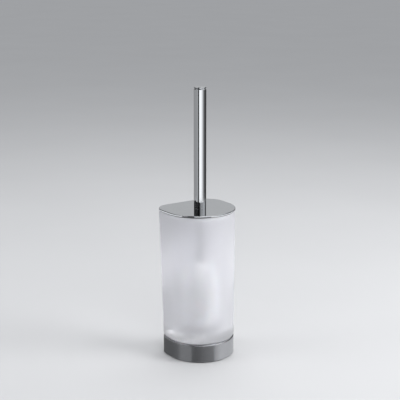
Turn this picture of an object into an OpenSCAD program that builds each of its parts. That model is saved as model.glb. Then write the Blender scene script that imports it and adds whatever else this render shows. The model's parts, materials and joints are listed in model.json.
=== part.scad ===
// Free-standing toilet brush set. A D-shaped tumbler of frosted glass stands in a low metal
// base. A flat metal lid closes it, and the brush hangs from the lid by its tube handle.
// The straight side of the D is the back (+Y), and the round side is the front (-Y).
// Z = 0 is the floor, and the Z axis is the axis of the handle.

/* [Outline] */
// Width of the lid and of the tumbler's mouth
mouth_w = 103; // [100:0.5:108]
// From the handle's axis to the straight back, at the mouth
mouth_back = 44.5; // [43:0.5:47]
// Radius of the two back corners, at the mouth
mouth_corner = 25; // [20:0.5:27]
// Width of the base and of the tumbler's foot
foot_w = 97; // [95:0.5:100]
// From the handle's axis to the straight back, at the base
foot_back = 37.5; // [37:0.5:41]
// Radius of the two back corners, at the base
foot_corner = 22.5; // [20:0.5:24]
// From the handle's axis to the round front, from base to lid
front = 48.5; // [48:0.5:50]

/* [Heights] */
// Height of the whole set, to the top of the handle
overall_h = 385; // [370:1:400]
// Height of the lid's top face
lid_top = 214; // [208:1:220]
// Thickness of the lid plate
lid_t = 2.6; // [2:0.1:3]
// Height of the base's top face
base_top = 26.5; // [25:0.5:28]

/* [Glass] */
// Thickness of the tumbler's wall
glass_wall = 3.5; // [3:0.1:4]
// Thickness of the tumbler's floor above the base
glass_floor = 12; // [8:0.5:14]
// Radius of the tumbler's lower outside edge
glass_edge_r = 3.5; // [2:0.5:5]
// Radius between the tumbler's floor and its inner wall
glass_inner_r = 8; // [4:0.5:9]

/* [Base] */
// Wall thickness of the base shell
shell_wall = 2; // [1.5:0.1:2.5]
// Thickness of the shell's deck
deck_t = 3.5; // [3:0.1:4]
// Width of the deck, from the outer face to the seat of the tumbler
deck_w = 9; // [8.5:0.1:10]
// Gap between the shell's lower edge and the floor
shell_gap = 1.2; // [0.8:0.1:1.5]
// Thickness of the rubber sole
sole_t = 2; // [1.8:0.1:2.5]

/* [Handle and stem] */
// Outer diameter of the handle tube
handle_d = 17.5; // [16.5:0.1:19]
// Wall thickness of the handle tube
handle_wall = 1.2; // [1:0.1:1.5]
// Outer diameter of the stem tube inside the tumbler
stem_d = 12; // [11:0.5:13]
// Diameter of the journal that turns in the lid's bush
journal_d = 10; // [9:0.5:10]

/* [Brush head] */
// Diameter across the bristles
head_d = 64; // [58:1:66]
// Height of the lowest bristle tips
head_bottom = 41; // [40:0.5:44]
// Height of the top of the bristles
head_top = 128; // [120:1:130]
// Diameter of the core that carries the bristles
core_d = 20; // [18:0.5:22]

/* [Hidden] */

$fn = 96;
arc_front = 48;                 // straight steps in the front half circle of the glass
arc_corner = 12;                // straight steps in each back corner of the glass
arc_edge = 4;                   // steps in each small rounded edge of the glass

// An outline is [half width, back, front, corner radius].
foot = [foot_w / 2, foot_back, front, foot_corner];
mouth = [mouth_w / 2, mouth_back, front, mouth_corner];

running = 0.05;                 // radial clearance of the journal
face_gap = 0.1;                 // clearance between faces that turn on each other
slip = 0.4;                     // clearance of parts that drop into each other

// Base
plate_t = 2;
plate_z = sole_t;
plate_inset = shell_wall + 0.3;
sole_inset = shell_wall + 1;
ballast_z = plate_z + plate_t;
ballast_top = 18;
ballast_inset = deck_w + 0.3;
boss_d = 6.2;
boss_inset = shell_wall + 3;
boss_at = [
    for (a = [-150, -30])
        [(foot[0] - boss_inset) * cos(a), foot[0] - front + (foot[0] - boss_inset) * sin(a)],
    [-20, foot_back - boss_inset],
    [20, foot_back - boss_inset]
];
screw_d = 2.9;
screw_head_d = 5.4;
screw_head_h = 1.4;
screw_len = 14;

// Seat of the tumbler
seat_wall = 1.8;
seat_lip = 5;
seat_lip_t = 2;
spigot_inset = deck_w + seat_wall + slip;
spigot_z = ballast_top + seat_lip_t;
spigot_chamfer = 0.8;
foot_z = base_top + 0.3;        // underside of the tumbler, just clear of the base

// Lid
lid_z = lid_top - lid_t;
gasket_t = 0.8;
gasket_inset = 0.8;
rim_z = lid_z - gasket_t;
rim_r = 1.2;
inner_floor = base_top + glass_floor;
liner_inset = glass_wall + 0.6;
liner_t = 2;
liner_wall = 2;
liner_depth = 5;
liner_z = lid_z - liner_t;
bush_d = 14;
bush_flange_d = 24;
bush_flange_t = 2;
bush_z = liner_z - bush_flange_t;

// Handle and stem
handle_z = lid_top + face_gap;
handle_bore = handle_d - 2 * handle_wall;
cap_disc_t = 1.6;
cap_groove_t = 1.4;
cap_groove_d = 15.7;
cap_chamfer = 0.5;
cap_plug = 10;
tube_top = overall_h - cap_disc_t - cap_groove_t;
insert_len = 25;
handle_thread_d = 8;
handle_thread_len = 16;
washer_t = 1.1;
washer_d = 18;
stem_top = bush_z - face_gap - washer_t;
stem_wall = 1.2;
stem_bore = stem_d - 2 * stem_wall;
stem_bottom = head_top + 6;
plug_len = 20;

// Brush head
head_thread_d = 6;
head_thread_len = 18;
seal_t = 1;
core_top = stem_bottom - seal_t;
core_bottom = 52;
core_neck_d = 16;
core_neck = 5;
insert_d = 9;
crown_z = 110;                  // the side rows end here and the crown begins
tip_z = 60;                     // the tip tufts end here and the side rows begin
head_r = head_d / 2;

function inset(o, d) = [o[0] - d, o[1] - d, o[2] - d, o[3] - d];

// Outline of the tumbler at height z, between the foot and the mouth.
function outline(z) =
    let (t = min(1, max(0, (z - foot_z - glass_edge_r) / (rim_z - foot_z - glass_edge_r))))
    foot * (1 - t) + mouth * t;

function arc(c, r, a0, a1, n) =
    [for (i = [0:n]) let (a = a0 + (a1 - a0) * i / n) [c[0] + r * cos(a), c[1] + r * sin(a)]];

function d_points(o) = let (w = o[0], r = o[3]) concat(
    arc([0, w - o[2]], w, 180, 360, arc_front),
    arc([w - r, o[1] - r], r, 0, 90, arc_corner),
    arc([r - w, o[1] - r], r, 90, 180, arc_corner)
);

function ring(o, z) = [for (p = d_points(o)) [p[0], p[1], z]];

// The D as exact arcs and straight lines.
module d_shape(o) {
    w = o[0];
    r = o[3];
    middle = w - o[2];
    translate([0, middle]) intersection() {
        circle(r = w);
        translate([-w, -w]) square([2 * w, w]);
    }
    translate([-w, middle]) square([2 * w, o[1] - r - middle]);
    translate([r - w, middle]) square([2 * (w - r), o[1] - middle]);
    for (side = [-1, 1]) translate([side * (w - r), o[1] - r]) circle(r = r);
}

module d_slab(o, z, h) {
    translate([0, 0, z]) linear_extrude(h) d_shape(o);
}

// A closed band of the D between two outlines.
module d_band(outer, inner, z, h) {
    translate([0, 0, z]) linear_extrude(h) difference() {
        d_shape(outer);
        d_shape(inner);
    }
}

module disc(d, z, h) {
    translate([0, 0, z]) cylinder(d = d, h = h);
}

module tube(d, bore, z, h) {
    difference() {
        disc(d, z, h);
        disc(bore, z - 1, h + 2);
    }
}

// Skins a closed list of rings, with a flat face across the first and the last.
module loft(rings) {
    n = len(rings[0]);
    last = len(rings) - 1;
    polyhedron(
        points = [for (r = rings) each r],
        faces = concat(
            [[for (i = [0:n - 1]) i]],
            [for (k = [0:last - 1], i = [0:n - 1]) let (j = (i + 1) % n)
                each [
                    [k * n + i, (k + 1) * n + i, (k + 1) * n + j],
                    [k * n + i, (k + 1) * n + j, k * n + j]
                ]],
            [[for (i = [n - 1:-1:0]) last * n + i]]
        ),
        convexity = 6
    );
}

// ---- Base ----

module sole_pad() color("#1d1d1f") d_slab(inset(foot, sole_inset), 0, sole_t);

module bottom_plate() color("#8d9094") difference() {
    d_slab(inset(foot, plate_inset), plate_z, plate_t);
    for (p = boss_at) translate([p[0], p[1], 0]) {
        disc(screw_d + 0.4, plate_z - 1, plate_t + 2);
        disc(screw_head_d + 0.3, plate_z - 1, 1 + screw_head_h);
    }
}

module bottom_screws() color("#b9bcc0") for (p = boss_at) translate([p[0], p[1], 0]) {
    disc(screw_head_d, plate_z, screw_head_h);
    disc(screw_d, plate_z + screw_head_h - 0.2, screw_len);
}

module ballast_block() color("#55585c")
    d_slab(inset(foot, ballast_inset), ballast_z, ballast_top - ballast_z);

module base_shell() color("#a3a5a9") difference() {
    union() {
        d_band(foot, inset(foot, shell_wall), shell_gap, base_top - shell_gap);
        d_band(inset(foot, shell_wall / 2), inset(foot, deck_w), base_top - deck_t, deck_t);
        intersection() {
            for (p = boss_at) translate([p[0], p[1], 0])
                disc(boss_d, ballast_z, base_top - ballast_z - 1);
            d_slab(inset(foot, shell_wall / 2), ballast_z, base_top - ballast_z - 1);
        }
    }
    for (p = boss_at) translate([p[0], p[1], 0])
        disc(screw_d, ballast_z - 1, screw_len + 2);
}

module seat_ring() color("#d9dbdc") union() {
    d_band(inset(foot, deck_w), inset(foot, deck_w + seat_wall), ballast_top, base_top - ballast_top - 0.5);
    d_band(inset(foot, deck_w + seat_wall / 2), inset(foot, deck_w + seat_wall + seat_lip), ballast_top, seat_lip_t);
}

// ---- Glass ----

module glass_tumbler() color("#e3e5e8", 0.55) {
    steps = [for (i = [0:arc_edge]) i * 90 / arc_edge];
    spigot = inset(foot, spigot_inset);
    loft(concat(
        [ring(inset(spigot, spigot_chamfer), spigot_z)],
        [ring(spigot, spigot_z + spigot_chamfer)],
        [ring(spigot, foot_z)],
        [for (a = steps) ring(inset(foot, glass_edge_r * (1 - sin(a))), foot_z + glass_edge_r * (1 - cos(a)))],
        [for (a = steps) ring(inset(mouth, rim_r * (1 - cos(a))), rim_z - rim_r * (1 - sin(a)))],
        [for (a = steps) ring(inset(mouth, glass_wall - rim_r * (1 - sin(a))), rim_z - rim_r * (1 - cos(a)))],
        [for (a = steps) let (z = inner_floor + glass_inner_r * (1 - sin(a)))
            ring(inset(outline(z), glass_wall + glass_inner_r * (1 - cos(a))), z)]
    ));
}

// ---- Lid ----

module lid_plate() color("#c4c8cf") difference() {
    d_slab(mouth, lid_z, lid_t);
    disc(bush_d, lid_z - 1, lid_t + 2);
}

module lid_gasket() color("#3a3c40")
    d_band(inset(mouth, gasket_inset), inset(mouth, liner_inset), rim_z, gasket_t);

module lid_liner() color("#d9dbdc") difference() {
    union() {
        d_slab(inset(mouth, liner_inset), liner_z, liner_t);
        d_band(
            inset(mouth, liner_inset),
            inset(mouth, liner_inset + liner_wall),
            liner_z - liner_depth,
            liner_depth + liner_t / 2
        );
    }
    disc(bush_d, liner_z - 1, liner_t + 2);
}

module lid_bush() color("#f4f4f2") difference() {
    union() {
        disc(bush_flange_d, bush_z, bush_flange_t);
        disc(bush_d, bush_z, lid_top - bush_z);
    }
    disc(journal_d + 2 * running, bush_z - 1, lid_top - bush_z + 2);
}

// ---- Handle and stem ----

module handle_tube() color("#d4d7dc") tube(handle_d, handle_bore, handle_z, tube_top - handle_z);

module handle_cap() color("#dcdfe3") {
    disc(handle_bore, tube_top - cap_plug, cap_plug);
    disc(cap_groove_d, tube_top, cap_groove_t);
    translate([0, 0, tube_top + cap_groove_t]) rotate_extrude() polygon([
        [0, 0],
        [handle_d / 2, 0],
        [handle_d / 2, cap_disc_t - cap_chamfer],
        [handle_d / 2 - cap_chamfer, cap_disc_t],
        [0, cap_disc_t]
    ]);
}

module handle_insert() color("#c8a95a")
    tube(handle_bore, handle_thread_d, handle_z, insert_len);

module stem_spindle() color("#b4b7bb") {
    disc(stem_bore, stem_top - plug_len, plug_len);
    disc(journal_d, stem_top, handle_z - stem_top);
    disc(handle_thread_d, handle_z, handle_thread_len);
}

module thrust_washer() color("#e8e8e4") tube(washer_d, journal_d, stem_top, washer_t);

module stem_tube() color("#c0c3c7") tube(stem_d, stem_bore, stem_bottom, stem_top - stem_bottom);

module head_stud() color("#b4b7bb") {
    disc(stem_bore, stem_bottom, plug_len);
    disc(head_thread_d, stem_bottom - head_thread_len, head_thread_len);
}

module head_washer() color("#2b2b2d") tube(stem_d, head_thread_d, core_top, seal_t);

// ---- Brush head ----

module thread_insert() color("#c8a95a")
    tube(insert_d, head_thread_d, core_top - head_thread_len, head_thread_len);

module brush_core() color("#f2f2f0") difference() {
    union() {
        disc(core_d, core_bottom + core_d / 2, core_top - core_neck - core_bottom - core_d / 2);
        disc(core_neck_d, core_top - core_neck - 1, core_neck + 1);
        translate([0, 0, core_bottom + core_d / 2]) sphere(d = core_d);
    }
    disc(insert_d, core_top - head_thread_len, head_thread_len + 1);
}

// The bristles are solids that fill the space of their tufts, around the core.
module bristle_solid(profile) color("#f7f7f5") rotate_extrude() polygon(profile);

module bristles_crown() bristle_solid(concat(
    [[core_d / 2, crown_z]],
    [for (a = [0:10:90]) [
        core_d / 2 + 2 + (head_r - core_d / 2 - 2) * cos(a),
        crown_z + (head_top - crown_z) * sin(a)
    ]],
    [[core_d / 2, head_top]]
));

module bristles_side() bristle_solid([
    [core_d / 2, tip_z],
    [head_r, tip_z],
    [head_r, crown_z],
    [core_d / 2, crown_z]
]);

module bristles_tip() difference() {
    bristle_solid(concat(
        [[0, tip_z], [0, head_bottom]],
        [for (a = [-90:10:0]) [
            head_r / 2 + head_r / 2 * cos(a),
            tip_z + (tip_z - head_bottom) * sin(a)
        ]]
    ));
    translate([0, 0, core_bottom + core_d / 2]) sphere(d = core_d);
}

sole_pad();
bottom_plate();
bottom_screws();
ballast_block();
base_shell();
seat_ring();
glass_tumbler();
lid_plate();
lid_gasket();
lid_liner();
lid_bush();
handle_tube();
handle_cap();
handle_insert();
stem_spindle();
thrust_washer();
stem_tube();
head_stud();
head_washer();
thread_insert();
brush_core();
bristles_crown();
bristles_side();
bristles_tip();
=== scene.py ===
import json
import math

import bmesh
import bpy
import numpy as np
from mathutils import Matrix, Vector


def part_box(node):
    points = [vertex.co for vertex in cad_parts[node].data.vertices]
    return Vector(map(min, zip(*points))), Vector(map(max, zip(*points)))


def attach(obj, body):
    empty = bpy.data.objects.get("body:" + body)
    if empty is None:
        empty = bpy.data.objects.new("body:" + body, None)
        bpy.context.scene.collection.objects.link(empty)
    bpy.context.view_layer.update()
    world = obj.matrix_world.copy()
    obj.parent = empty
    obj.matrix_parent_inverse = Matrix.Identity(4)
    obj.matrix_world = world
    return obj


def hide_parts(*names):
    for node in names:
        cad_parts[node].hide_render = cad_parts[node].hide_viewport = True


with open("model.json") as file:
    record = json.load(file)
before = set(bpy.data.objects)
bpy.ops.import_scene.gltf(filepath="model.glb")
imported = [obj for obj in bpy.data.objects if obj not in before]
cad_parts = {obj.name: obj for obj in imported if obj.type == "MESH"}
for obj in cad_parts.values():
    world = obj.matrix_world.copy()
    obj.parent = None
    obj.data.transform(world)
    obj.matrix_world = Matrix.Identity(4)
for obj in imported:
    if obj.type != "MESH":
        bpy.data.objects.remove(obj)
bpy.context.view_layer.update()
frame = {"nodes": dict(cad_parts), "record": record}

MM = 0.001
rng = np.random.default_rng(7)

# The body and the material slot of each CAD node.
BODY = {n: b for b, nodes in frame["record"]["behaviour"]["bodies"].items() for n in nodes}
SLOT = {s["node"]: s["material_slot"] for s in frame["record"]["subparts"]}

# ---------------------------------------------------------------- measures of the frame

MOUTH_CORNER = 25 * MM
FOOT_CORNER = 22.5 * MM


def heights(node):
    """The lowest and the highest Z of a CAD node."""
    low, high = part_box(node)
    return low[2], high[2]


def radius_of(node):
    """The radius of a CAD node that is round about the Z axis."""
    low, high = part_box(node)
    return (high[0] - low[0]) / 2


def outline_of(node, corner):
    """The D of a CAD node, as (half width, back, front, corner radius)."""
    low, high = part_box(node)
    return ((high[0] - low[0]) / 2, high[1], -low[1], corner)


MOUTH = outline_of("lid_plate", MOUTH_CORNER)
FOOT = outline_of("base_shell", FOOT_CORNER)
BASE_TOP = heights("base_shell")[1]
RIM = heights("glass_tumbler")[1]

# ---------------------------------------------------------------- camera

AZIMUTH = math.radians(-34.2)
ELEVATION = math.radians(13.45)
DISTANCE = 1.5
AIM_HEIGHT = 0.2252
LENS_MM = 96.05
SENSOR_MM = 36
NEAREST, FURTHEST = 0.05, 100


def make_camera():
    towards = Vector((
        math.sin(AZIMUTH) * math.cos(ELEVATION),
        -math.cos(AZIMUTH) * math.cos(ELEVATION),
        math.sin(ELEVATION),
    ))
    data = bpy.data.cameras.new("camera")
    data.lens = LENS_MM
    data.sensor_width = SENSOR_MM
    data.clip_start = NEAREST
    data.clip_end = FURTHEST
    camera = bpy.data.objects.new("camera", data)
    bpy.context.collection.objects.link(camera)
    camera.location = Vector((0, 0, AIM_HEIGHT)) + towards * DISTANCE
    camera.rotation_euler = (-towards).to_track_quat("-Z", "Y").to_euler()
    bpy.context.scene.camera = camera


make_camera()

# ---------------------------------------------------------------- materials

MIX_A, MIX_B, MIX_RESULT = 6, 7, 2      # where a Mix node has its sockets for colours


def new_material(name):
    """A material, its Principled shader, and a function that adds a node with these inputs."""
    material = bpy.data.materials.new(name)
    material.use_nodes = True
    tree = material.node_tree
    shader = tree.nodes["Principled BSDF"]

    def add(kind, **inputs):
        node = tree.nodes.new(kind)
        for key, value in inputs.items():
            socket = node.inputs[key.replace("_", " ")]
            if isinstance(value, bpy.types.NodeSocket):
                tree.links.new(value, socket)
            else:
                socket.default_value = value
        return node

    return material, shader, add


def link(node, name, output):
    node.id_data.links.new(output, node.inputs[name])


def coordinates(add, scale=(1, 1, 1)):
    """The piece's own coordinates in metres, stretched by scale."""
    place = add("ShaderNodeTexCoord").outputs["Object"]
    return add("ShaderNodeMapping", Vector=place, Scale=scale).outputs["Vector"]


def noise(add, vector, scale, detail=3.0, roughness=0.5):
    node = add("ShaderNodeTexNoise", Vector=vector, Scale=scale, Detail=detail, Roughness=roughness)
    return node.outputs["Fac"]


def between(add, fac, low, high, start=0.3, end=0.7):
    """fac, from start to end, as a number from low to high."""
    node = add("ShaderNodeMapRange", Value=fac)
    node.inputs["From Min"].default_value = start
    node.inputs["From Max"].default_value = end
    node.inputs["To Min"].default_value = low
    node.inputs["To Max"].default_value = high
    return node.outputs["Result"]


def blend_colours(add, fac, a, b):
    """A colour from a to b by fac. a and b are triples, or the outputs of other nodes."""
    node = add("ShaderNodeMix")
    node.data_type = "RGBA"
    link(node, "Factor", fac)
    for place, colour in ((MIX_A, a), (MIX_B, b)):
        if isinstance(colour, bpy.types.NodeSocket):
            link(node, place, colour)
        else:
            node.inputs[place].default_value = (*colour, 1)
    return node.outputs[MIX_RESULT]


def bump(add, height, distance, strength):
    return add("ShaderNodeBump", Height=height, Distance=distance, Strength=strength).outputs["Normal"]


def polished_chrome():
    """Mirror chrome with faint smears and the slight ripple of a polished surface."""
    material, shader, add = new_material("polished_chrome")
    smears = noise(add, coordinates(add, (1, 1, 0.35)), 60, 4, 0.6)
    ripple = noise(add, coordinates(add), 25, 1)
    shader.inputs["Metallic"].default_value = 1
    link(shader, "Base Color", blend_colours(add, smears, (0.80, 0.82, 0.85), (0.87, 0.88, 0.90)))
    link(shader, "Roughness", between(add, smears, 0.025, 0.07))
    link(shader, "Normal", bump(add, ripple, 0.0004, 0.05))
    return material


def satin_metal():
    """Satin chrome. Fine lines run round the piece, so reflections blur up and down."""
    material, shader, add = new_material("satin_metal")
    lines = noise(add, coordinates(add, (1, 1, 60)), 70, 3, 0.6)
    clouds = noise(add, coordinates(add), 35, 3)
    shader.inputs["Metallic"].default_value = 1
    link(shader, "Base Color", blend_colours(add, clouds, (0.56, 0.565, 0.59), (0.62, 0.625, 0.65)))
    link(shader, "Roughness", between(add, lines, 0.20, 0.27))
    link(shader, "Normal", bump(add, lines, 0.00006, 0.7))
    return material


# The heights over which the thick foot's painted shade passes into the wall, and over which the wall
# takes a little painted shade towards the rim.
FOOT_SHADE_BAND = (BASE_TOP + 7.5 * MM, BASE_TOP + 19.5 * MM)
RIM_SHADE_BAND = (BASE_TOP + 93.5 * MM, BASE_TOP + 173.5 * MM)
ETCHED_ROUGHNESS = (0.50, 0.56)
ETCHED_TRANSMISSION = 0.56


def frosted_glass():
    """Glass that is clear inside and acid-etched outside: the etched skin is milky and blurs
    what stands behind it. The attribute etched is 0 where the glass is clear and 1 on the
    wall's outer skin."""
    material, shader, add = new_material("frosted_glass")
    grain = noise(add, coordinates(add), 2200, 2)
    clouds = noise(add, coordinates(add), 22, 3)
    skin = add("ShaderNodeAttribute")
    skin.attribute_name = "etched"
    height = add("ShaderNodeSeparateXYZ", Vector=coordinates(add)).outputs["Z"]
    # Painted shade: the thick foot is painted a darker grey than the wall, standing for the shade
    # there.
    foot_painted_shade = blend_colours(add, clouds, (0.725, 0.725, 0.75), (0.745, 0.745, 0.77))
    wall_tint = blend_colours(add, clouds, (0.94, 0.94, 0.98), (0.955, 0.955, 0.99))
    # Painted shade: the wall is painted a little greyer towards the rim, standing for less light under
    # the lid.
    rim_painted_shade = blend_colours(add, clouds, (0.90, 0.90, 0.94), (0.915, 0.915, 0.955))
    tint = blend_colours(add, between(add, height, 0, 1, *FOOT_SHADE_BAND), foot_painted_shade, wall_tint)
    tint = blend_colours(add, between(add, height, 0, 1, *RIM_SHADE_BAND), tint, rim_painted_shade)
    link(shader, "Base Color", tint)
    rough = add("ShaderNodeMath")
    rough.operation = "MULTIPLY"
    link(rough, 0, skin.outputs["Fac"])
    link(rough, 1, between(add, clouds, *ETCHED_ROUGHNESS))
    link(shader, "Roughness", rough.outputs[0])
    clear = between(add, skin.outputs["Fac"], 1.0, ETCHED_TRANSMISSION, 0, 1)
    link(shader, "Transmission Weight", clear)
    shader.inputs["IOR"].default_value = 1.45
    link(shader, "Normal", bump(add, grain, 0.00003, 0.4))
    return material


def moulded_plastic(name, dark, light, rough):
    """Moulded plastic. rough is its lowest and its highest roughness."""
    material, shader, add = new_material(name)
    flow = noise(add, coordinates(add, (1, 1, 0.4)), 90, 4)
    grain = noise(add, coordinates(add), 3200, 2)
    link(shader, "Base Color", blend_colours(add, flow, dark, light))
    link(shader, "Roughness", between(add, flow, *rough))
    link(shader, "Normal", bump(add, grain, 0.00004, 0.3))
    return material


def clear_plastic():
    """Translucent plastic with a faint flow in its surface."""
    material, shader, add = new_material("clear_plastic")
    flow = noise(add, coordinates(add), 120, 3)
    link(shader, "Base Color", blend_colours(add, flow, (0.80, 0.83, 0.84), (0.88, 0.90, 0.90)))
    shader.inputs["Transmission Weight"].default_value = 0.5
    link(shader, "Roughness", between(add, flow, 0.3, 0.42))
    link(shader, "Normal", bump(add, flow, 0.0001, 0.2))
    return material


def bristle_white():
    """Nylon filament: white, a little uneven from tuft to tuft."""
    material, shader, add = new_material("bristle_white")
    tufts = noise(add, coordinates(add), 160, 2)
    link(shader, "Base Color", blend_colours(add, tufts, (0.88, 0.885, 0.895), (0.95, 0.95, 0.95)))
    link(shader, "Roughness", between(add, tufts, 0.3, 0.45))
    shader.inputs["Subsurface Weight"].default_value = 0.15
    shader.inputs["Subsurface Scale"].default_value = 0.001
    return material


def black_rubber():
    """Matt rubber with a fine dusty grain."""
    material, shader, add = new_material("black_rubber")
    grain = noise(add, coordinates(add), 1500, 4, 0.6)
    link(shader, "Base Color", blend_colours(add, grain, (0.018, 0.018, 0.02), (0.045, 0.045, 0.048)))
    link(shader, "Roughness", between(add, grain, 0.6, 0.8))
    link(shader, "Normal", bump(add, grain, 0.0001, 0.5))
    return material


def turned_metal(name, dark, light, rough):
    """Turned metal, with the fine rings that the tool leaves. rough is its lowest and its
    highest roughness."""
    material, shader, add = new_material(name)
    rings = noise(add, coordinates(add, (1, 1, 60)), 60, 3, 0.6)
    shader.inputs["Metallic"].default_value = 1
    link(shader, "Base Color", blend_colours(add, rings, dark, light))
    link(shader, "Roughness", between(add, rings, *rough))
    link(shader, "Normal", bump(add, rings, 0.00003, 0.4))
    return material


def cast_weight():
    """Cast iron, with the coarse grain of the sand mould."""
    material, shader, add = new_material("cast_weight")
    sand = noise(add, coordinates(add), 900, 5, 0.65)
    clouds = noise(add, coordinates(add), 60, 3)
    shader.inputs["Metallic"].default_value = 0.7
    link(shader, "Base Color", blend_colours(add, clouds, (0.10, 0.105, 0.11), (0.19, 0.19, 0.20)))
    link(shader, "Roughness", between(add, sand, 0.55, 0.75))
    link(shader, "Normal", bump(add, sand, 0.0003, 0.6))
    return material


MATERIALS = {
    "polished_chrome": polished_chrome(),
    "satin_metal": satin_metal(),
    "frosted_glass": frosted_glass(),
    "white_plastic": moulded_plastic(
        "white_plastic", (0.82, 0.82, 0.81), (0.88, 0.88, 0.87), (0.37, 0.47)
    ),
    "clear_plastic": clear_plastic(),
    "bristle_white": bristle_white(),
    "black_rubber": black_rubber(),
    "steel": turned_metal("steel", (0.50, 0.51, 0.52), (0.62, 0.63, 0.64), (0.22, 0.34)),
    "brass": turned_metal("brass", (0.60, 0.46, 0.20), (0.74, 0.60, 0.30), (0.19, 0.31)),
    "cast_weight": cast_weight(),
}

# ---------------------------------------------------------------- mesh tools

ROUND = 128              # straight steps round a turned piece
FRONT_STEPS = 96         # straight steps in the front half circle of a D
CORNER_STEPS = 28        # straight steps in each back corner of a D
D_POINTS = (FRONT_STEPS + 1) + 2 * (CORNER_STEPS + 1)
SHARP = math.radians(35)        # faces that meet at a larger angle than this have a sharp edge
AXIS = 0.2 * MM          # how close to the Z axis the section of a solid piece comes


def finish_piece(name, verts, faces, node, flat_wins=True):
    """Makes the mesh an object that stands for the CAD node, with its body, slot and material.
    With flat_wins, flat faces keep an even shade right up to a rounded edge."""
    mesh = bpy.data.meshes.new(name)
    mesh.from_pydata([tuple(v) for v in verts], [], faces)
    shape = bmesh.new()
    shape.from_mesh(mesh)
    bmesh.ops.recalc_face_normals(shape, faces=shape.faces)
    for face in shape.faces:
        face.smooth = True
    for edge in shape.edges:
        edge.smooth = not (edge.is_manifold and edge.calc_face_angle(0) > SHARP)
    shape.to_mesh(mesh)
    shape.free()
    piece = bpy.data.objects.new(name, mesh)
    bpy.context.collection.objects.link(piece)
    if flat_wins:
        normals = piece.modifiers.new("flat_faces_stay_flat", "WEIGHTED_NORMAL")
        normals.keep_sharp = True
    mesh.materials.append(MATERIALS[SLOT[node]])
    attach(piece, BODY[node])
    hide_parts(node)
    return piece


def rounded(corners, steps=5):
    """A section through corners (x, z, radius), with each corner rounded to its radius."""
    section = []
    count = len(corners)
    for i, (x, z, radius) in enumerate(corners):
        here = np.array((x, z), float)
        if radius == 0:
            section.append(tuple(here))
            continue
        before = np.array(corners[i - 1][:2], float) - here
        after = np.array(corners[(i + 1) % count][:2], float) - here
        before /= np.linalg.norm(before)
        after /= np.linalg.norm(after)
        half = math.acos(np.clip(before @ after, -1, 1)) / 2
        reach = radius / math.tan(half)
        middle = here + (before + after) / np.linalg.norm(before + after) * radius / math.sin(half)
        start = here + before * reach - middle
        end = here + after * reach - middle
        sweep = math.pi - 2 * half
        for k in range(steps + 1):
            t = k / steps
            point = (math.sin((1 - t) * sweep) * start + math.sin(t * sweep) * end) / math.sin(sweep)
            section.append(tuple(middle + point))
    return section


def bridge(rows, count, closed):
    """Quads between neighbouring rings of count points each."""
    last = rows if closed else rows - 1
    return [
        (k * count + i, k * count + (i + 1) % count,
         (k + 1) % rows * count + (i + 1) % count, (k + 1) % rows * count + i)
        for k in range(last) for i in range(count)
    ]


def turned(section, closed):
    """Verts and faces of a section (radius, z) turned about the Z axis. An open one is capped."""
    angles = np.arange(ROUND) * 2 * math.pi / ROUND
    verts = [(r * math.cos(a), r * math.sin(a), z) for r, z in section for a in angles]
    faces = bridge(len(section), ROUND, closed)
    if not closed:
        faces.append(tuple(reversed(range(ROUND))))
        faces.append(tuple(range((len(section) - 1) * ROUND, len(section) * ROUND)))
    return verts, faces


def arc(centre, radius, start, end, steps):
    """Points on an arc from start to end, in degrees."""
    angles = np.radians(np.linspace(start, end, steps + 1))
    return [(centre[0] + radius * math.cos(a), centre[1] + radius * math.sin(a)) for a in angles]


def d_outline(outline, inset):
    """Points round a D: (half width, back, front, corner radius), all moved in by inset."""
    width, back, front, corner = (value - inset for value in outline)
    return (
        arc((0, width - front), width, 180, 360, FRONT_STEPS)
        + arc((width - corner, back - corner), corner, 0, 90, CORNER_STEPS)
        + arc((corner - width, back - corner), corner, 90, 180, CORNER_STEPS)
    )


def d_loft(section, outline_at, closed):
    """Verts and faces of a section (inset, z) carried round the D that outline_at(z) gives."""
    verts = [(x, y, z) for inset, z in section for x, y in d_outline(outline_at(z), inset)]
    faces = bridge(len(section), D_POINTS, closed)
    if not closed:
        faces.append(tuple(reversed(range(D_POINTS))))
        faces.append(tuple(range((len(section) - 1) * D_POINTS, len(section) * D_POINTS)))
    return verts, faces


def d_plate(section, outline, hole, low, high):
    """A D-shaped plate whose edge is section, with a round hole of radius hole."""
    verts = [(x, y, z) for inset, z in section for x, y in d_outline(outline, inset)]
    angles = [math.atan2(y, x) for x, y in d_outline(outline, 0)]
    for z in (high, low):
        verts += [(hole * math.cos(a), hole * math.sin(a), z) for a in angles]
    return verts, bridge(len(section) + 2, D_POINTS, True)


# ---------------------------------------------------------------- the D outlines

GLASS_FOOT = BASE_TOP + 0.3 * MM        # the glass stands just clear of the base
GLASS_EDGE = 3.5 * MM                   # radius of the tumbler's lower outside edge
GLASS_WALL = 3.5 * MM


def mouth(z):
    """The outline of the lid, which is the same at every height."""
    return MOUTH


def foot(z):
    """The outline of the base, which is the same at every height."""
    return FOOT


def tumbler_outline(z):
    """The outline of the tumbler, which widens from the base's to the lid's."""
    t = np.clip((z - GLASS_FOOT - GLASS_EDGE) / (RIM - GLASS_FOOT - GLASS_EDGE), 0, 1)
    return tuple(f * (1 - t) + m * t for f, m in zip(FOOT, MOUTH))


# ---------------------------------------------------------------- base


def make_sole():
    """The sole, with two grooves round its underside."""
    low, high = heights("sole_pad")
    outer, inner = 3 * MM, 10 * MM
    tread, slope, width = 0.6 * MM, 0.6 * MM, 4 * MM
    section = []
    for groove in (14 * MM, 7 * MM):
        section += [
            (groove + width, low, 0),
            (groove + width - slope, low + tread, 0),
            (groove + slope, low + tread, 0),
            (groove, low, 0),
        ]
    section += [(outer, low, 0.5 * MM), (outer, high, 0.3 * MM), (inner, high, 0)]
    finish_piece("sole", *d_loft(rounded(section), foot, False), "sole_pad")


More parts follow.
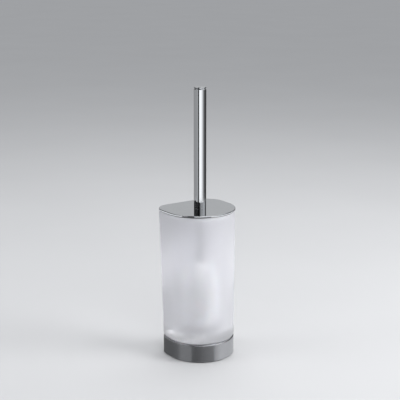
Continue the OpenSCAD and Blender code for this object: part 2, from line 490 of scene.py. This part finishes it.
def make_base_shell():
    low, high = heights("base_shell")
    wall, deck, seat = 2 * MM, 3.5 * MM, 9 * MM
    shell = d_loft(rounded([
        (0, low, 0.4 * MM),
        (0, high, 1.9 * MM),
        (seat, high, 0.5 * MM),
        (seat, high - deck, 0.4 * MM),
        (wall, high - deck, 0.8 * MM),
        (wall, low, 0.4 * MM),
    ]), foot, True)
    finish_piece("base", *shell, "base_shell")


def make_seat_ring():
    low, high = heights("seat_ring")
    outer, wall, lip, lip_t = 9 * MM, 1.8 * MM, 5 * MM, 2 * MM
    ring = d_loft(rounded([
        (outer, low, 0.3 * MM),
        (outer, high, 0.5 * MM),
        (outer + wall, high, 0.5 * MM),
        (outer + wall, low + lip_t, 0.4 * MM),
        (outer + wall + lip, low + lip_t, 0.4 * MM),
        (outer + wall + lip, low, 0.4 * MM),
    ]), foot, True)
    finish_piece("seat", *ring, "seat_ring")


# ---------------------------------------------------------------- tumbler

FOOT_ETCHED = 0.72       # the foot's skin is etched a little less than the wall's


def make_tumbler():
    low, high = heights("glass_tumbler")
    spigot = 11.2 * MM
    floor = BASE_TOP + 12 * MM
    middle = spigot + 25 * MM
    steps = 8
    section = rounded([
        (middle, low, 0),
        (spigot, low, 0.8 * MM),
        (spigot, GLASS_FOOT, 0.6 * MM),
        (0, GLASS_FOOT, GLASS_EDGE),
        (0, floor, 0),
        (0, floor + 6 * MM, 0),
        (0, high, 1.2 * MM),
        (GLASS_WALL, high, 1.2 * MM),
        (GLASS_WALL, floor, 8 * MM),
        (middle, floor, 0),
    ], steps)[1:-1]
    loft = d_loft(section, tumbler_outline, False)
    tumbler = finish_piece("tumbler", *loft, "glass_tumbler", False)
    tumbler.visible_shadow = False      # the frosted wall lets the studio light in to the brush

    corner = steps + 1                  # rings in one rounded corner
    foot_ring = 2 * corner              # the first ring above the spigot
    wall_ring = 3 * corner + 1          # the first ring of the wall, above the thick floor
    inner_ring = 4 * corner + 4         # the first ring that isn't etched, inside the rim
    etched = np.zeros((len(section), D_POINTS))
    etched[foot_ring:wall_ring] = FOOT_ETCHED
    etched[wall_ring:inner_ring] = 1
    skin = tumbler.data.attributes.new("etched", "FLOAT", "POINT")
    skin.data.foreach_set("value", etched.ravel())


# ---------------------------------------------------------------- lid

BUSH_FLANGE = 5 * MM                    # how far the bush's flange stands out from its body
BUSH_BODY = radius_of("lid_bush") - BUSH_FLANGE


def make_lid():
    low, high = heights("lid_plate")
    flat = 3 * MM
    edge = rounded([
        (flat, low, 0),
        (0, low, 0.5 * MM),
        (0, high, 0.9 * MM),
        (flat, high, 0),
    ], 6)
    finish_piece("lid", *d_plate(edge, MOUTH, BUSH_BODY, low, high), "lid_plate")


def make_gasket():
    low, high = heights("lid_gasket")
    outer, inner, soft = 0.8 * MM, 4.1 * MM, 0.25 * MM
    ring = d_loft(rounded([
        (outer, low, soft), (outer, high, soft), (inner, high, soft), (inner, low, soft),
    ]), mouth, True)
    finish_piece("gasket", *ring, "lid_gasket")


def make_liner():
    low, high = heights("lid_liner")
    outer, wall, plate = 4.1 * MM, 2 * MM, 2 * MM
    flat = outer + 6 * MM
    edge = rounded([
        (flat, high - plate, 0),
        (outer + wall, high - plate, 0.8 * MM),
        (outer + wall, low, 0.6 * MM),
        (outer, low, 0.6 * MM),
        (outer, high, 0.2 * MM),
        (flat, high, 0),
    ])
    finish_piece("liner", *d_plate(edge, MOUTH, BUSH_BODY, high - plate, high), "lid_liner")


def make_bush():
    low, high = heights("lid_bush")
    flange, bore = BUSH_BODY + BUSH_FLANGE, 5.05 * MM
    flange_top = low + 2 * MM
    finish_piece("bush", *turned(rounded([
        (bore, low, 0.4 * MM),
        (flange, low, 0.5 * MM),
        (flange, flange_top, 0.3 * MM),
        (BUSH_BODY, flange_top, 0.2 * MM),
        (BUSH_BODY, high, 0.2 * MM),
        (bore, high, 0.4 * MM),
    ]), True), "lid_bush")


# ---------------------------------------------------------------- handle and stem


def make_tube(name, node, wall, edge, top_edge=None):
    """A tube that stands for a round CAD node. Its edges are rounded by edge, and its upper
    outside edge by top_edge if that is given."""
    low, high = heights(node)
    radius = radius_of(node)
    finish_piece(name, *turned(rounded([
        (radius - wall, low, edge),
        (radius, low, edge),
        (radius, high, top_edge or edge),
        (radius - wall, high, edge),
    ]), True), node)


def make_handle_cap():
    low, high = heights("handle_cap")
    radius = radius_of("handle_tube")
    tube_top = heights("handle_tube")[1]
    plug = neck = radius - 1.2 * MM
    groove = radius - 0.7 * MM
    disc = tube_top + 1.7 * MM
    finish_piece("cap", *turned(rounded([
        (AXIS, low, 0),
        (plug, low, 0.6 * MM),
        (plug, tube_top, 0),
        (groove, tube_top, 0),
        (neck, disc, 0),
        (radius, disc, 0.2 * MM),
        (radius, high, 0.7 * MM),
        (AXIS, high, 0),
    ]), False), "handle_cap")


def make_spindle():
    low, high = heights("stem_spindle")
    shoulder = heights("stem_tube")[1]
    lid_face = heights("handle_tube")[0]
    plug, journal, thread = 4.8 * MM, 5 * MM, 4 * MM
    finish_piece("spindle", *turned(rounded([
        (AXIS, low, 0),
        (plug, low, 0.5 * MM),
        (plug, shoulder, 0),
        (journal, shoulder, 0),
        (journal, lid_face, 0),
        (thread, lid_face, 0),
        (thread, high, 0.8 * MM),
        (AXIS, high, 0),
    ]), False), "stem_spindle")


def make_stud():
    low, high = heights("head_stud")
    shoulder = heights("stem_tube")[0]
    plug, thread = 4.8 * MM, 3 * MM
    finish_piece("stud", *turned(rounded([
        (AXIS, low, 0),
        (thread, low, 0.8 * MM),
        (thread, shoulder, 0),
        (plug, shoulder, 0),
        (plug, high, 0.5 * MM),
        (AXIS, high, 0),
    ]), False), "head_stud")


# ---------------------------------------------------------------- brush head

CORE_RADIUS = 10 * MM
HEAD_RADIUS = radius_of("bristles_side")
TIP_BOTTOM, TIP_TOP = heights("bristles_tip")
CROWN_BOTTOM, CROWN_TOP = heights("bristles_crown")


def make_core():
    low, high = heights("brush_core")
    neck, bore = 8 * MM, 4.5 * MM
    shoulder, bore_end = high - 5 * MM, high - 18 * MM
    belly = low + CORE_RADIUS
    dome = [
        (CORE_RADIUS * math.sin(a), belly - CORE_RADIUS * math.cos(a))
        for a in np.radians(np.linspace(2, 90, 16))
    ]
    top = rounded([
        (CORE_RADIUS, belly, 0),
        (CORE_RADIUS, shoulder, 1.2 * MM),
        (neck, shoulder, 0.5 * MM),
        (neck, high, 0.6 * MM),
        (bore, high, 0.3 * MM),
        (bore, bore_end, 0),
        (AXIS, bore_end, 0),
    ])[1:]
    finish_piece("core", *turned(dome + top, False), "brush_core")


def head_profile(z):
    """Radius of the brush head's envelope at height z."""
    drop = (TIP_TOP - z) / (TIP_TOP - TIP_BOTTOM)
    tip = HEAD_RADIUS / 2 * (1 + np.sqrt(np.clip(1 - drop ** 2, 0, 1)))
    inner = CORE_RADIUS + 2 * MM
    rise = np.clip((z - CROWN_BOTTOM) / (CROWN_TOP - CROWN_BOTTOM), 0, 1)
    crown = inner + (HEAD_RADIUS - inner) * np.sqrt(1 - rise ** 2)
    radius = np.where(z < TIP_TOP, tip, np.where(z > CROWN_BOTTOM, crown, HEAD_RADIUS))
    return np.where((z < TIP_BOTTOM) | (z > CROWN_TOP), 0, radius)


def reach(roots, directions):
    """How far each filament runs from its root before it meets the head's envelope."""
    longest, halvings = 60 * MM, 22
    near, far = np.zeros(len(roots)), np.full(len(roots), longest)
    for _ in range(halvings):
        middle = (near + far) / 2
        point = roots + directions * middle[:, None]
        inside = np.hypot(point[:, 0], point[:, 1]) < head_profile(point[:, 2])
        near, far = np.where(inside, middle, near), np.where(inside, far, middle)
    return near


def filaments(name, node, tufts, per_tuft):
    """Bristles as thin three-sided filaments. A tuft is (root, direction)."""
    thick, taper = 0.19 * MM, 0.35          # half thickness at the root, share lost at the end
    spread = 1.1 * MM                       # radius of a tuft at its root
    splay, wander = 0.136, 0.085 / 3        # how much a tuft opens, and its filaments stray
    sag = 0.4 * MM                          # how far a filament bows, as a rule
    trim = (0.955, 0.995)                   # the share of its reach that a filament fills
    slant = (0.31, 0.12, 0.94)              # a direction in which no tuft points
    sides, levels = 3, (0.0, 0.4, 0.75, 1.0)
    roots = np.repeat([t[0] for t in tufts], per_tuft, axis=0)
    aims = np.repeat([t[1] for t in tufts], per_tuft, axis=0)
    count = len(roots)
    side = np.cross(aims, slant)
    side /= np.linalg.norm(side, axis=1)[:, None]
    up = np.cross(side, aims)
    turn = rng.uniform(0, 2 * math.pi, count)
    out = np.sqrt(rng.uniform(0, 1, count))
    offset = side * (np.cos(turn) * out)[:, None] + up * (np.sin(turn) * out)[:, None]
    aims = aims + offset * splay + rng.normal(0, wander, (count, 3))
    aims /= np.linalg.norm(aims, axis=1)[:, None]
    roots = roots + offset * spread
    length = reach(roots, aims) * rng.uniform(*trim, count)
    bend = rng.normal(0, sag, (count, 3))
    rings = []
    for level in levels:
        centre = roots + aims * (length * level)[:, None] + bend * level * (1 - level) * 2
        size = thick * (1 - taper * level)
        for k in range(sides):
            a = 2 * math.pi * k / sides
            rings.append(centre + (side * math.cos(a) + up * math.sin(a)) * size)
    points = np.stack(rings, 1).reshape(-1, 3)
    per = sides * len(levels)
    one = bridge(len(levels), sides, False)
    one.append(tuple(range(per - sides, per)))
    one.append(tuple(reversed(range(sides))))
    faces = [tuple(start + p for p in face) for start in range(0, count * per, per) for face in one]
    finish_piece(name, points.tolist(), faces, node, False)


def tuft_ring(z, count, tilt, radius, phase):
    """Tufts round the core at height z, tilted up from level by tilt. phase turns the ring,
    in steps from one tuft to the next."""
    tufts = []
    for i in range(count):
        a = 2 * math.pi * (i + phase) / count
        root = (radius * math.cos(a), radius * math.sin(a), z)
        aim = (math.cos(a) * math.cos(tilt), math.sin(a) * math.cos(tilt), math.sin(tilt))
        tufts.append((root, aim))
    return tufts


def make_bristles():
    root = CORE_RADIUS - 0.6 * MM
    side_z = np.linspace(TIP_TOP + 5 * MM, CROWN_BOTTOM - 2 * MM, 8)
    side = sum((tuft_ring(z, 15, 0.0, root, 0.5 * (i % 2)) for i, z in enumerate(side_z)), [])
    filaments("side_tufts", "bristles_side", side, per_tuft=34)
    crown = (
        tuft_ring(CROWN_BOTTOM + 4 * MM, 15, math.radians(14), root, 0.5)
        + tuft_ring(CROWN_BOTTOM + 9 * MM, 15, math.radians(30), root, 0.0)
        + tuft_ring(CROWN_BOTTOM + 14 * MM, 12, math.radians(48), root - 0.4 * MM, 0.25)
    )
    filaments("crown_tufts", "bristles_crown", crown, per_tuft=30)
    belly = heights("brush_core")[0] + CORE_RADIUS
    tip = []
    for below, count in ((8, 15), (32, 14), (55, 9), (76, 5)):
        a = math.radians(below)
        z, ring_radius = belly - root * math.sin(a), root * math.cos(a)
        tip += tuft_ring(z, count, -a, ring_radius, 0.13 * below)
    filaments("tip_tufts", "bristles_tip", tip, per_tuft=32)


make_sole()
make_base_shell()
make_seat_ring()
make_tumbler()
make_lid()
make_gasket()
make_liner()
make_bush()
make_tube("handle", "handle_tube", wall=1.2 * MM, edge=0.15 * MM, top_edge=0.5 * MM)
make_handle_cap()
make_tube("insert", "handle_insert", wall=3.55 * MM, edge=0.3 * MM)
make_spindle()
make_tube("washer", "thrust_washer", wall=4 * MM, edge=0.2 * MM)
make_tube("stem", "stem_tube", wall=1.2 * MM, edge=0.2 * MM)
make_stud()
make_tube("seal", "head_washer", wall=3 * MM, edge=0.15 * MM)
make_tube("thread_bush", "thread_insert", wall=1.5 * MM, edge=0.2 * MM)
make_core()
make_bristles()

# These nodes keep their CAD shape.
for node in ("bottom_plate", "bottom_screws", "ballast_block"):
    carried = frame["nodes"][node]
    carried.data.materials.clear()
    carried.data.materials.append(MATERIALS[SLOT[node]])

# ---------------------------------------------------------------- stage

FLOOR_REACH = 30         # from the origin to the floor's edges
CARD_STEP = 3            # degrees from one point of a card to the next
CARD_COLOUR = (0.97, 0.985, 1.0, 1)
LIGHT_AIM = 0.12         # the height that the soft lights point at
SKY_SPREAD = math.radians(150)
SKY_STRENGTH = 0.9
WORLD_COLOUR = (0.80, 0.83, 0.87, 1)
WORLD_STRENGTH = 0.45


def floor_material():
    """A pale matt floor, very slightly uneven."""
    material, shader, add = new_material("pale_floor")
    clouds = noise(add, coordinates(add), 3, 3)
    link(shader, "Base Color", blend_colours(add, clouds, (0.52, 0.522, 0.53), (0.55, 0.552, 0.56)))
    shader.inputs["Roughness"].default_value = 0.9
    shader.inputs["Specular IOR Level"].default_value = 0
    return material


def stage_mesh(name, verts, faces):
    mesh = bpy.data.meshes.new(name)
    mesh.from_pydata(verts, [], faces)
    thing = bpy.data.objects.new(name, mesh)
    bpy.context.collection.objects.link(thing)
    return thing


def make_floor():
    r = FLOOR_REACH
    corners = [(-r, -r, 0), (r, -r, 0), (r, r, 0), (-r, r, 0)]
    floor = stage_mesh("floor", corners, [(0, 1, 2, 3)])
    floor.data.materials.append(floor_material())
    floor.visible_transmission = False


def polar(angle, distance, height):
    """A point at angle degrees from the camera's direction, positive to the camera's right."""
    a = AZIMUTH + math.radians(angle)
    return (math.sin(a) * distance, -math.cos(a) * distance, height)


def card_steps(glow):
    """The (angle, brightness) pairs of glow, and more of them on the straight lines between."""
    grid = range(glow[0][0], glow[-1][0], CARD_STEP)
    steps = []
    for (start, first), (end, last) in zip(glow, glow[1:]):
        steps.append((start, first))
        steps += [
            (a, first + (last - first) * (a - start) / (end - start)) for a in grid if start < a < end
        ]
    return steps + [glow[-1]]


def make_card(name, glow, near, far):
    """A studio card round the object, seen only in reflections. glow is a list of
    (angle, brightness) from left to right. near and far give the card's two edges at an angle."""
    steps = card_steps(glow)
    verts = [edge(a) for a, _ in steps for edge in (near, far)]
    light = [brightness for _, brightness in steps for _ in (near, far)]
    faces = [
        (2 * i, 2 * i + 2, 2 * i + 3, 2 * i + 1)
        for i in range(len(steps) - 1) if steps[i][0] != steps[i + 1][0]
    ]
    card = stage_mesh(name, verts, faces)
    card.data.attributes.new("glow", "FLOAT", "POINT").data.foreach_set("value", light)
    material = bpy.data.materials.new(name)
    material.use_nodes = True
    tree = material.node_tree
    tree.nodes.clear()
    painted = tree.nodes.new("ShaderNodeAttribute")
    painted.attribute_name = "glow"
    emission = tree.nodes.new("ShaderNodeEmission")
    emission.inputs["Color"].default_value = CARD_COLOUR
    tree.links.new(painted.outputs["Fac"], emission.inputs["Strength"])
    out = tree.nodes.new("ShaderNodeOutputMaterial")
    tree.links.new(emission.outputs[0], out.inputs[0])
    card.data.materials.append(material)
    card.visible_camera = False
    card.visible_diffuse = False
    card.visible_transmission = False
    card.visible_volume_scatter = False
    card.visible_shadow = False


def soft_light(name, angle, elevation, distance, size, watts):
    """A round light that points at the object. angle is as in polar()."""
    data = bpy.data.lights.new(name, "AREA")
    data.shape = "DISK"
    data.size = size
    data.energy = watts
    light = bpy.data.objects.new(name, data)
    bpy.context.collection.objects.link(light)
    up = math.radians(elevation)
    place = Vector(polar(angle, distance * math.cos(up), LIGHT_AIM + distance * math.sin(up)))
    light.location = place
    light.rotation_euler = (place - Vector((0, 0, LIGHT_AIM))).to_track_quat("Z", "Y").to_euler()
    light.visible_camera = False
    return light


def make_sky_glow():
    """A very soft light from above that reaches the far floor too."""
    data = bpy.data.lights.new("sky_glow", "SUN")
    data.angle = SKY_SPREAD
    data.energy = SKY_STRENGTH
    light = bpy.data.objects.new("sky_glow", data)
    bpy.context.collection.objects.link(light)
    light.visible_camera = False
    light.visible_glossy = False
    light.visible_transmission = False


# The upright cards stand round the object, one on the other, and the roof card leans in over it.
CARD_RADIUS = 0.85
CARD_FOOT, HIGH_FOOT, ROOF_FOOT = 0.02, 0.36, 0.9
ROOF_RADIUS, ROOF_TOP = 0.03, 2.6
# The other two lie on the floor.
ABOVE_FLOOR = 0.0002
NEAR_FLOOR = 0.30        # the base reflects the floor inside this distance
FAR_FLOOR = 1.4          # the lid's edge reflects the floor up to this distance

# What the handle reflects, as (angle, brightness). Two rows at one angle are a sharp step.
LOW_GLOW = (
    (-180, 0.30), (-60, 0.33), (-34, 0.40), (-34, 0.02), (-14, 0.02), (-14, 1.2), (20, 1.15),
    (40, 0.8), (60, 0.36), (84, 0.10), (110, 0.05), (150, 0.05), (180, 0.12),
)
# What the base reflects, by the angle of the part of its wall.
NEAR_GLOW = (
    (-90, 0.14), (-55, 0.13), (-42, 0.16), (-34, 0.27), (-15, 0.27), (-14, 0.13), (-5, 0.12),
    (12, 0.21), (24, 0.25), (25, 0.45), (36, 0.66), (90, 0.60),
)
# What the lid's edge reflects.
FAR_GLOW = (
    (-180, 0.2), (-150, 0.2), (-125, 1.0), (-54, 1.0), (-52, 0.05), (36, 0.05), (40, 1.0),
    (125, 1.0), (150, 0.2), (180, 0.2),
)
# What the lid's top reflects, and the foot of the handle by way of the lid.
HIGH_GLOW = (
    (-150, 0.02), (-40, 0.02), (-22, 0.0), (-8, 0.0), (2, 0.13), (14, 0.28), (30, 0.34),
    (62, 0.36), (80, 0.52), (100, 0.30), (112, 0.06), (150, 0.05), (150, 0.46), (210, 0.46),
)
# What rounded upper edges reflect.
ROOF_GLOW = (
    (-180, 0.30), (-112, 0.30), (-100, 0.85), (-56, 0.85), (-44, 0.02), (16, 0.02), (24, 0.85),
    (128, 0.85), (140, 0.30), (180, 0.30),
)
# The soft lights, as (name, angle, elevation, distance, size, watts).
LIGHTS = (
    ("key", 78, 32, 1.7, 0.9, 19),
    ("fill", -80, 25, 1.8, 1.0, 8),
    ("front", 20, 30, 2.2, 1.2, 11),
    ("top", 170, 65, 1.8, 1.2, 10),
)


def circle(distance, height):
    """Where an edge of a card is at an angle, when it runs round at one distance and height."""
    return lambda angle: polar(angle, distance, height)


def off_the_base(distance):
    """Where on the floor the base's wall is reflected from, at this distance from the wall. The
    wall that faces angle is seen in the direction 0 and reflects the direction 2 * angle."""
    def point(angle):
        start = polar(angle, FOOT[0], ABOVE_FLOOR)
        way = polar(2 * angle, distance, 0)
        return tuple(s + w for s, w in zip(start, way))
    return point


def make_stage():
    make_floor()
    card_foot = circle(CARD_RADIUS, CARD_FOOT)
    high_foot = circle(CARD_RADIUS, HIGH_FOOT)
    roof_foot = circle(CARD_RADIUS, ROOF_FOOT)
    make_card("low_card", LOW_GLOW, card_foot, high_foot)
    make_card("high_card", HIGH_GLOW, high_foot, roof_foot)
    make_card("roof_card", ROOF_GLOW, roof_foot, circle(ROOF_RADIUS, ROOF_TOP))
    make_card("near_card", NEAR_GLOW, off_the_base(0), off_the_base(NEAR_FLOOR))
    far_start = circle(NEAR_FLOOR + FOOT[0], ABOVE_FLOOR)
    make_card("far_card", FAR_GLOW, far_start, circle(FAR_FLOOR, ABOVE_FLOOR))
    for name, *values in LIGHTS:
        light = soft_light(name, *values)
        light.visible_glossy = name != "front"      # the metal doesn't reflect the front light
    make_sky_glow()
    world = bpy.data.worlds.new("studio")
    bpy.context.scene.world = world
    world.use_nodes = True
    back = world.node_tree.nodes["Background"]
    back.inputs["Color"].default_value = WORLD_COLOUR
    back.inputs["Strength"].default_value = WORLD_STRENGTH
    world.cycles_visibility.transmission = False


make_stage()

scene = bpy.context.scene
scene.view_settings.view_transform = "Standard"
scene.cycles.use_denoising = True
scene.cycles.transmission_bounces = 16
scene.cycles.max_bounces = 20
scene.cycles.sample_clamp_indirect = 6
